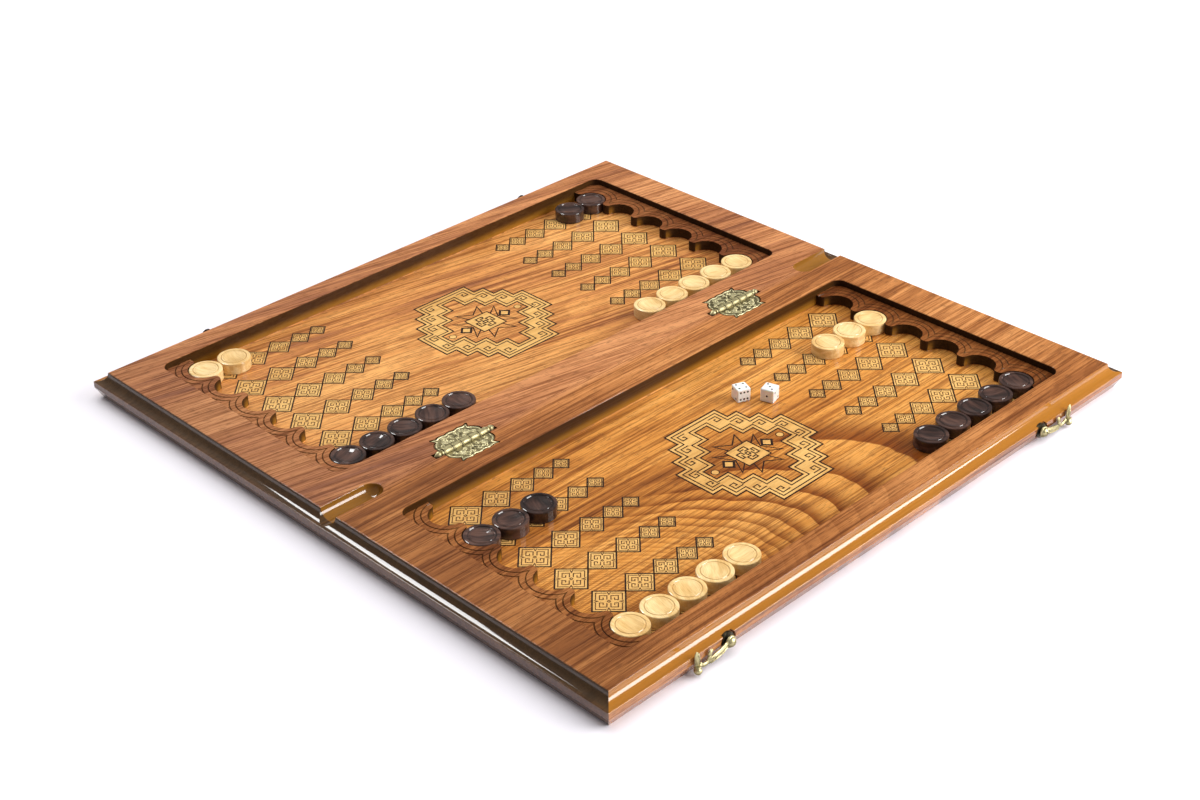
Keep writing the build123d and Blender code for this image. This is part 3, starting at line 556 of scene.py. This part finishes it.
def rod(bm, points, radii, sides=8, flatten=1.0, up=Vector((0, 0, 1)), material=0):
    """A rounded bar along a path; flatten squeezes it along up. Its ends are domed."""
    path = [Vector(p) for p in points]
    rings = []
    for i, p in enumerate(path):
        run = (path[min(i + 1, len(path) - 1)] - path[max(i - 1, 0)]).normalized()
        across = run.cross(up).normalized()
        rise = across.cross(run).normalized()
        ring = []
        for k in range(sides):
            turn = 2 * math.pi * k / sides
            offset = across * math.cos(turn) + rise * math.sin(turn) * flatten
            ring.append(bm.verts.new(p + offset * radii[i]))
        rings.append(ring)
    for a, b in zip(rings, rings[1:]):
        for k in range(sides):
            m = (k + 1) % sides
            bm.faces.new([a[k], a[m], b[m], b[k]]).material_index = material
    for ring, p, q, radius in ((rings[0], path[0], path[1], radii[0]),
                               (rings[-1], path[-1], path[-2], radii[-1])):
        tip = bm.verts.new(p + (p - q).normalized() * radius * 0.5)
        for k in range(sides):
            m = (k + 1) % sides
            pair = [ring[m], ring[k]] if ring is rings[0] else [ring[k], ring[m]]
            bm.faces.new([*pair, tip]).material_index = material


def lathe(bm, profile, centre, axis, sides=32, material=0):
    """A turned solid: profile of (radius, distance along the axis)."""
    axis = Vector(axis).normalized()
    across = axis.orthogonal().normalized()
    other = axis.cross(across)
    rings = []
    for radius, along in profile:
        middle = Vector(centre) + axis * along
        if radius < 1e-6:
            rings.append([bm.verts.new(middle)] * sides)
            continue
        ring = []
        for k in range(sides):
            turn = 2 * math.pi * k / sides
            ring.append(bm.verts.new(middle + (across * math.cos(turn) + other * math.sin(turn)) * radius))
        rings.append(ring)
    for a, b in zip(rings, rings[1:]):
        for k in range(sides):
            m = (k + 1) % sides
            corners = []
            for v in (a[k], a[m], b[m], b[k]):
                if v not in corners:
                    corners.append(v)
            if len(corners) > 2:
                bm.faces.new(corners).material_index = material


def across_seam(side, points):
    """Points drawn for the right half, put on the asked side."""
    return [(side * x, y) for x, y in points]


def spiral(centre, start, turns, outer, inner, steps):
    """Points of a flat volute, from its outer end inwards; angles in degrees."""
    points = []
    for i in range(steps + 1):
        t = i / steps
        angle = math.radians(start + 360 * turns * t)
        radius = outer + (inner - outer) * t ** 0.8
        points.append((centre[0] + radius * math.cos(angle), centre[1] + radius * math.sin(angle)))
    return points


# ---------------------------------------------------------------- ornament

def tile(bm, centre, side):
    """A square tile standing on its corner: pale ground, dark outline, four scrolls."""
    half = side / 2
    root = math.sqrt(0.5)

    def at(u, v):
        return (centre[0] + (u - v) * half * root, centre[1] + (u + v) * half * root)

    fine = 0.46 + 0.015 * side
    outline = [at(-1, -1), at(1, -1), at(1, 1), at(-1, 1)]
    plate(bm, outline, FLOOR - 0.2, GROUND_Z)
    line(bm, outline, TILE_OUTLINE, LINE_Z, 1, closed=True)
    for su in (-1, 1):
        for sv in (-1, 1):
            hook = [(0.14, 0.80), (0.80, 0.80), (0.80, 0.14)]
            scroll = [(0.12, 0.16), (0.12, 0.56), (0.56, 0.56), (0.56, 0.16), (0.34, 0.16), (0.34, 0.36)]
            line(bm, [at(su * u, sv * v) for u, v in hook], fine, LINE_Z, 2)
            line(bm, [at(su * u, sv * v) for u, v in scroll], fine, LINE_Z, 2)
    line(bm, [at(0.1, 0), at(0, 0.1), at(-0.1, 0), at(0, -0.1)], fine, LINE_Z, 2, closed=True)
    for u, v in ((0, 1), (0, -1), (1, 0), (-1, 0)):
        wide = (u * 0.9 + v * 0.1, v * 0.9 + u * 0.1)
        other = (u * 0.9 - v * 0.1, v * 0.9 - u * 0.1)
        notch = [wide, (u * 0.66, v * 0.66), other]
        line(bm, [at(*p) for p in notch], fine, LINE_Z, 2)


def points_inlay(side, end):
    def build(bm):
        for i in range(6):
            x = side * (TRAY_MIDDLE + POINT_PITCH * (i - 2.5))
            reach = POINT_START
            for length in TILE_SIDES:
                diagonal = length * math.sqrt(2)
                tile(bm, (x, end * (reach - diagonal / 2)), length)
                reach -= diagonal
    return build


OUTER_STEPS = [
    (62.0, 29.2), (47.8, 29.2), (47.8, 40.0), (33.5, 40.0), (33.5, 50.8), (19.2, 50.8), (19.2, 61.6),
]
INNER_STEPS = [
    (50.0, 7.0), (35.5, 7.0), (35.5, 19.0), (22.0, 19.0), (22.0, 31.0), (7.0, 31.0), (7.0, 44.0),
]


def stepped(steps, shift=0.0):
    """The closed stepped outline, from its steps in the first quarter."""
    quarter = [(x - shift, y - shift) for x, y in steps]
    outline = []
    for sx, sy, order in ((1, 1, 1), (-1, 1, -1), (-1, -1, 1), (1, -1, -1)):
        outline += [(sx * x, sy * y) for x, y in quarter[::order]]
    return outline


def band(bm, outer, inner, z, material):
    """The ground between two stepped outlines that have the same number of corners."""
    for i in range(len(outer)):
        j = (i + 1) % len(outer)
        flat(bm, [outer[i], outer[j], inner[j], inner[i]], z, material)


def medallion(side):
    centre = (side * TRAY_MIDDLE, MEDALLION_SHIFT)

    def at(points):
        return [(centre[0] + side * x, centre[1] + y) for x, y in points]

    def build(bm):
        outer = stepped(OUTER_STEPS)
        inner = stepped(INNER_STEPS)
        band(bm, at(outer), at(inner), GROUND_Z, 0)
        line(bm, at(outer), 1.5, LINE_Z, 1, closed=True)
        line(bm, at(stepped(OUTER_STEPS, 3.6)), BAND_EDGE, LINE_Z, 1, closed=True)
        line(bm, at(inner), 1.4, LINE_Z, 1, closed=True)
        line(bm, at(stepped(INNER_STEPS, -3.4)), BAND_EDGE, LINE_Z, 1, closed=True)
        fret = [(-7.0, -15.4), (-7.0, -7.0), (-13.6, -7.0), (-13.6, -11.8), (-10.2, -11.8), (-10.2, -9.8)]
        for px, py in OUTER_STEPS[::2]:
            for sx in (-1, 1):
                for sy in (-1, 1):
                    hook = [(sx * (px + u), sy * (py + v)) for u, v in fret]
                    line(bm, at(hook), FRET_LINE, LINE_Z, 1)
        star(bm, at)
    return build


def star(bm, at):
    """The eight-pointed star round a pale square with a hooked cross, and its small marks."""
    core = 12.8
    square = [(-core, -core), (core, -core), (core, core), (-core, core)]
    flat(bm, at(square), GROUND_Z, 0)
    line(bm, at(square), STAR_LINE, LINE_Z, 1, closed=True)
    for s in (-1, 1):
        for tips in (
            [(s * core, 8.0), (s * 25.6, 12.5), (s * 16.5, 0), (s * 25.6, -12.5), (s * core, -8.0)],
            [(8.0, s * core), (15.5, s * 23.6), (0, s * 14.6), (-15.5, s * 23.6), (-8.0, s * core)],
        ):
            line(bm, at(tips), STAR_LINE, LINE_Z, 1)
        frame_mark = [(0, s * 22.3 - 5.6), (5.6, s * 22.3), (0, s * 22.3 + 5.6), (-5.6, s * 22.3)]
        flat(bm, at(frame_mark), GROUND_Z, 0)
        line(bm, at(frame_mark), 2.0, LINE_Z, 1, closed=True)
        turns = [k * math.pi / 10 for k in range(20)]
        ring = [(3.2 * math.cos(t), s * 38.0 + 3.2 * math.sin(t)) for t in turns]
        flat(bm, at(ring), GROUND_Z, 0)
        line(bm, at(ring), 0.7, LINE_Z, 1, closed=True)
    line(bm, at([(-1.6, -1.6), (1.6, -1.6), (1.6, 1.6), (-1.6, 1.6)]), CROSS_LINE, LINE_Z, 1, closed=True)
    for quarter in range(4):
        turn = math.radians(90 * quarter)
        hook = [(0, 3.6), (4.4, 3.6), (4.4, 8.6), (-2.6, 8.6), (-2.6, 6.0), (1.4, 6.0)]
        cos, sin = math.cos(turn), math.sin(turn)
        spun = [(x * cos - y * sin, x * sin + y * cos) for x, y in hook]
        line(bm, at(spun), CROSS_LINE, LINE_Z, 1)


INLAY = [PALE_GROUND, DARK_LINE, FINE_LINE]
for side, half in ((-1, "left"), (1, "right")):
    for end, where in ((-1, "near"), (1, "far")):
        piece(f"points_{half}_{where}", points_inlay(side, end), INLAY, half + "_half")
    piece(f"medallion_{half}", medallion(side), INLAY, half + "_half")


# ---------------------------------------------------------------- dice

def pips(centre, turn, counts):
    """Lacquered hollows of one die, facing out of its six faces."""
    facings = [
        ((0, 0, 1), (1, 0, 0)), ((0, 0, -1), (1, 0, 0)), ((0, -1, 0), (1, 0, 0)),
        ((0, 1, 0), (1, 0, 0)), ((-1, 0, 0), (0, 1, 0)), ((1, 0, 0), (0, 1, 0)),
    ]
    place = Matrix.Translation((*centre, FLOOR + DIE_SIZE / 2)) @ Matrix.Rotation(math.radians(turn), 4, "Z")

    def build(bm):
        for (out, right), count in zip(facings, counts):
            out, right = Vector(out), Vector(right)
            up = out.cross(right)
            for u, v in PIP_PLACES[count]:
                middle = out * DIE_SIZE / 2 + (right * u + up * v) * PIP_SPREAD
                profile = [(0, -PIP_DEPTH + 0.04), (0.4, -PIP_DEPTH + 0.10), (0.7, -PIP_DEPTH + 0.20),
                           (PIP_RADIUS + 0.03, 0.004)]
                lathe(bm, profile[::-1], place @ middle, place.to_3x3() @ out, sides=20)
    return build


for die, (centre, turn, counts) in DICE.items():
    piece(die + "_pips", pips(centre, turn, counts), [PIP_BLACK], die, smooth=True)


# ---------------------------------------------------------------- hinge relief

def bead(bm, points, radius, z):
    rod(bm, [(x, y, z) for x, y in points], [radius] * len(points), flatten=0.8)


def leaf_relief(side):
    """Cast scrollwork on one leaf: a beaded edge, two volutes at the screws, a middle palmette."""
    def build(bm):
        edge = [(8.0, 21.2), (11.6, 19.0), (14.4, 15.2), (18.2, 17.2), (17.4, 13.4)]
        for k in range(3):
            base = 13.4 - k * 8.93
            edge += [(18.2, base - 2.2), (18.6, base - 4.46), (18.2, base - 6.7), (17.4, base - 8.93)]
        edge += [(18.2, -17.2), (14.4, -15.2), (11.6, -19.0), (8.0, -21.2)]
        bead(bm, across_seam(side, edge), LEAF_BEAD_EDGE, LEAF_TOP - 0.15)
        bead(bm, across_seam(side, [(4.2, 21.0), (8.0, 21.2)]), 0.45, LEAF_TOP - 0.05)
        bead(bm, across_seam(side, [(4.2, -21.0), (8.0, -21.2)]), 0.45, LEAF_TOP - 0.05)
        for s in (-1, 1):
            turns = [k * math.pi / 9 for k in range(19)]
            ring = [(10.5 + 2.5 * math.cos(t), s * 11.0 + 2.5 * math.sin(t)) for t in turns]
            bead(bm, across_seam(side, ring), 0.55, LEAF_TOP - 0.05)
            for middle, start, turns, outer, inner in (
                ((14.6, s * 9.2), 200 * s, 1.3 * s, 2.7, 0.6),
                ((6.8, s * 15.6), -60 * s, 1.4 * s, 2.4, 0.5),
                ((7.2, s * 6.2), 90 * s, -1.3 * s, 2.3, 0.5),
                ((13.6, s * 3.6), -90 * s, 1.3 * s, 2.4, 0.5),
            ):
                curve = spiral(middle, start, turns, outer, inner, 18)
                bead(bm, across_seam(side, curve), LEAF_BEAD_SPIRAL, LEAF_TOP)
            for k in range(5):
                root = (8.8 + k * 1.1, s * (1.2 + k * 0.9))
                leafy = [(root[0] + 1.1 * t, root[1] + s * 1.6 * t * t) for t in (0, 0.5, 1.0)]
                bead(bm, across_seam(side, leafy), LEAF_BEAD_VEIN, LEAF_TOP)
        for y in (-2.2, 0.0, 2.2):
            bead(bm, across_seam(side, [(5.0, y), (7.5, y * 0.6), (10.0, y * 0.2)]), 0.42, LEAF_TOP)
    return build


def knuckle_rings(owned):
    """Turned rings on the knuckles that belong to one leaf."""
    def build(bm):
        for index in owned:
            middle = KNUCKLE_LENGTH * (index + 0.5 - KNUCKLES / 2)
            for offset in (-3.6, -2.9, 2.9, 3.6):
                rise = [(-0.05, -0.35), (0.22, -0.2), (0.28, 0), (0.22, 0.2), (-0.05, 0.35)]
                lathe(bm, [(KNUCKLE_RADIUS + r, along) for r, along in rise],
                      (0, middle + offset, AXIS_Z), (0, 1, 0), sides=28)
    return build


for end, where in ((-1, "near"), (1, "far")):
    for side, half, owned in ((-1, "left", (0, 2, 4)), (1, "right", (1, 3))):
        relief = leaf_relief(side)
        rings = knuckle_rings(owned)

        def both(bm):
            relief(bm)
            rings(bm)
            bmesh.ops.translate(bm, vec=(0, end * HINGE_Y, 0), verts=bm.verts)

        piece(f"hinge_{where}_{half}_scrollwork", both, [BRIGHT_BRASS], half + "_half",
              smooth=True)


# ---------------------------------------------------------------- side hooks

def arc_points(centre, radius, start, stop, steps):
    turns = [math.radians(start + (stop - start) * i / steps) for i in range(steps + 1)]
    return [(centre[0] + radius * math.cos(t), centre[1] + radius * math.sin(t)) for t in turns]


def hook_lever(end):
    """Cast lever: eye, bowed arm with ridges, mouth with a curled lip, flame finger and ball."""
    middle = HOOK_THICKNESS / 2

    def build(bm):
        def bar(points, radii, flatten=0.45, lift=0.0):
            rod(bm, [(HOOK_X + middle + lift, HOOK_Y + a, PIVOT_Z + u) for a, u in points], radii,
                sides=16, flatten=flatten, up=Vector((1, 0, 0)))

        eye = arc_points((0, 0), LEVER_EYE_RADIUS, 0, 360, 32)
        bar(eye, [1.5] * len(eye), 0.75)
        arm = [(2.6, 0.2), (5.0, -1.3), (8.0, -2.6), (11.5, -3.4), (15.0, -3.9), (18.5, -4.4), (22.0, -4.8)]
        bar(arm, [2.3, 2.8, 3.0, 3.0, 2.8, 2.5, 1.9], 0.42)
        for ridge in (
            [(3.4, 0.9), (7.5, -1.2), (11.5, -1.9), (16.0, -2.6), (19.5, -3.6)],
            [(3.4, -1.6), (7.5, -4.1), (11.5, -5.1), (16.0, -5.7), (20.5, -6.2)],
        ):
            bar(ridge, [0.55, 0.7, 0.7, 0.65, 0.4], 0.9, 0.8)
        cradle = arc_points((MOUTH_REACH, 0), LEVER_CRADLE_RADIUS, -180, -15, 18)
        bar(cradle, [1.75] * 14 + [1.6, 1.5, 1.35, 1.2, 1.0], 0.62)
        lip = [(4.6, -0.5), (5.0, 1.2), (5.6, 2.6), (6.4, 3.6)]
        bar([(MOUTH_REACH - back, rise) for back, rise in lip], [1.8, 1.9, 2.0, 1.7], 0.55)
        curl = spiral((MOUTH_REACH - 5.8, 3.4), -40, -1.0, 1.7, 0.3, 12)
        bar(curl, [1.05 - 0.05 * i for i in range(len(curl))], 0.85, 0.2)
        foot = LEVER_FOOT
        bar([(MOUTH_REACH + 3.4, -2.9), (MOUTH_REACH + 5.6, -3.4), (foot, -3.4)], [1.75, 1.5, 1.7], 0.6)
        flame = [(foot, -4.6), (foot, -2.4), (foot - 0.3, 0.2), (foot - 0.4, 3.0),
                 (foot - 0.1, 5.8), (foot + 0.4, 8.4), (foot + 0.8, 10.2)]
        bar(flame, [1.7, 2.0, 2.4, 2.7, 2.6, 1.9, 0.6], 0.48)
        vein = [(foot - 1.1, 0.4), (foot - 1.4, 3.4), (foot - 0.7, 6.6), (foot + 0.2, 9.2)]
        bar(vein, [0.35, 0.6, 0.6, 0.3], 0.9, 0.9)
        bar([(foot + 0.9, 0.4), (foot + 1.0, 3.2), (foot + 1.0, 5.8)], [0.35, 0.6, 0.3], 0.9, 0.9)
        for level, reach in ((-1.9, 2.2), (-2.8, 1.9)):
            collar = [(0, -0.4), (reach, -0.4), (reach + 0.25, 0), (reach, 0.4), (0, 0.4)]
            lathe(bm, collar, (HOOK_X + middle + 0.8, HOOK_Y + foot, PIVOT_Z + level), (0, 0, 1))
        turns = [math.radians(t) for t in range(0, 181, 12)]
        ball = [(LEVER_BALL_RADIUS * math.sin(t), -LEVER_BALL_RADIUS * math.cos(t)) for t in turns]
        lathe(bm, ball, (HOOK_X + middle + 1.0, HOOK_Y + foot, PIVOT_Z - 5.2), (0, 0, 1))
        if end < 0:
            bmesh.ops.scale(bm, vec=(1, -1, 1), verts=bm.verts)
            bmesh.ops.reverse_faces(bm, faces=bm.faces)
    return build


for end, where in ((-1, "near"), (1, "far")):
    lever = piece(f"hook_{where}_cast_lever", hook_lever(end), [CAST_BRASS], f"{where}_hook",
                  smooth=True)
    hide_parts(f"hook_{where}_lever")


# ---------------------------------------------------------------- finishes of the case's own parts

def finish_of(node):
    if node.startswith("half"):
        return WOOD
    if node.startswith("light_checker"):
        return LIGHT_WOOD
    if node.startswith("dark_checker"):
        return DARK_WOOD
    if node.startswith("die"):
        return DIE_WHITE
    if node.endswith(("stud", "plate")):
        return BLACK_METAL
    # Hook bases: brass painted near-black as painted shadow.
    if node.endswith("base"):
        return SHADOW_PAINTED_BRASS
    if node.endswith("leaf"):
        return DULL_BRASS
    if node.startswith("hook"):
        return CAST_BRASS
    return BRIGHT_BRASS


for node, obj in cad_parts.items():
    obj.data.materials.clear()
    obj.data.materials.append(finish_of(node))


# ---------------------------------------------------------------- table, light and camera

def table():
    mesh = bpy.data.meshes.new("table")
    bm = bmesh.new()
    bmesh.ops.create_grid(bm, x_segments=2, y_segments=2, size=6.0)
    bm.to_mesh(mesh)
    bm.free()
    mesh.materials.append(table_top())
    obj = bpy.data.objects.new("table", mesh)
    bpy.context.scene.collection.objects.link(obj)


def softbox(name, place, aim, width, height, radiance, lights=True, shines=True):
    """A soft rectangular light; lights: it lights what it faces, shines: gloss mirrors it."""
    data = bpy.data.lights.new(name, "AREA")
    data.shape = "RECTANGLE"
    data.size = width
    data.size_y = height
    data.energy = radiance * math.pi * width * height
    obj = bpy.data.objects.new(name, data)
    obj.location = place
    obj.rotation_euler = (Vector(aim) - Vector(place)).to_track_quat("-Z", "Y").to_euler()
    obj.visible_camera = False
    obj.visible_diffuse = lights
    obj.visible_glossy = shines
    bpy.context.scene.collection.objects.link(obj)


def surroundings(strength):
    world = bpy.data.worlds.new("studio")
    world.use_nodes = True
    back = world.node_tree.nodes["Background"]
    back.inputs["Color"].default_value = (1.0, 0.985, 1.0, 1)
    back.inputs["Strength"].default_value = strength
    bpy.context.scene.world = world


def camera():
    data = bpy.data.cameras.new("camera")
    data.sensor_width = 36.0
    data.lens = 59.14
    obj = bpy.data.objects.new("camera", data)
    obj.location = (0.99243, -0.98598, 0.84291)
    look = (Vector((0.02233, -0.03061, 0.01501)) - obj.location).to_track_quat("-Z", "Y")
    roll = Matrix.Rotation(math.radians(-0.75), 4, "Z")
    obj.rotation_euler = (look.to_matrix().to_4x4() @ roll).to_euler()
    bpy.context.scene.collection.objects.link(obj)
    bpy.context.scene.camera = obj


table()
surroundings(0.20)
softbox("right_back_key", (1.50, 1.30, 0.95), (0.28, 0.0, 0.0), 2.2, 1.1, 8.5, shines=False)
softbox("top_fill", (-0.3, 0.3, 3.0), (0.0, 0.0, 0.0), 3.6, 3.6, 1.9, shines=False)
softbox("left_fill", (-1.6, 0.2, 1.2), (0.0, 0.0, 0.0), 1.6, 1.0, 2.2, shines=False)
softbox("right_back_card", (1.78, 0.98, 0.95), (0.28, -0.1, 0.0), 1.3, 1.1, 15.0, lights=False)
softbox("left_card", (-1.10, -0.11, 1.42), (0.0, -0.29, 0.0), 1.0, 0.42, 16.0, lights=False)
camera()
bpy.context.scene.view_settings.view_transform = "Standard"
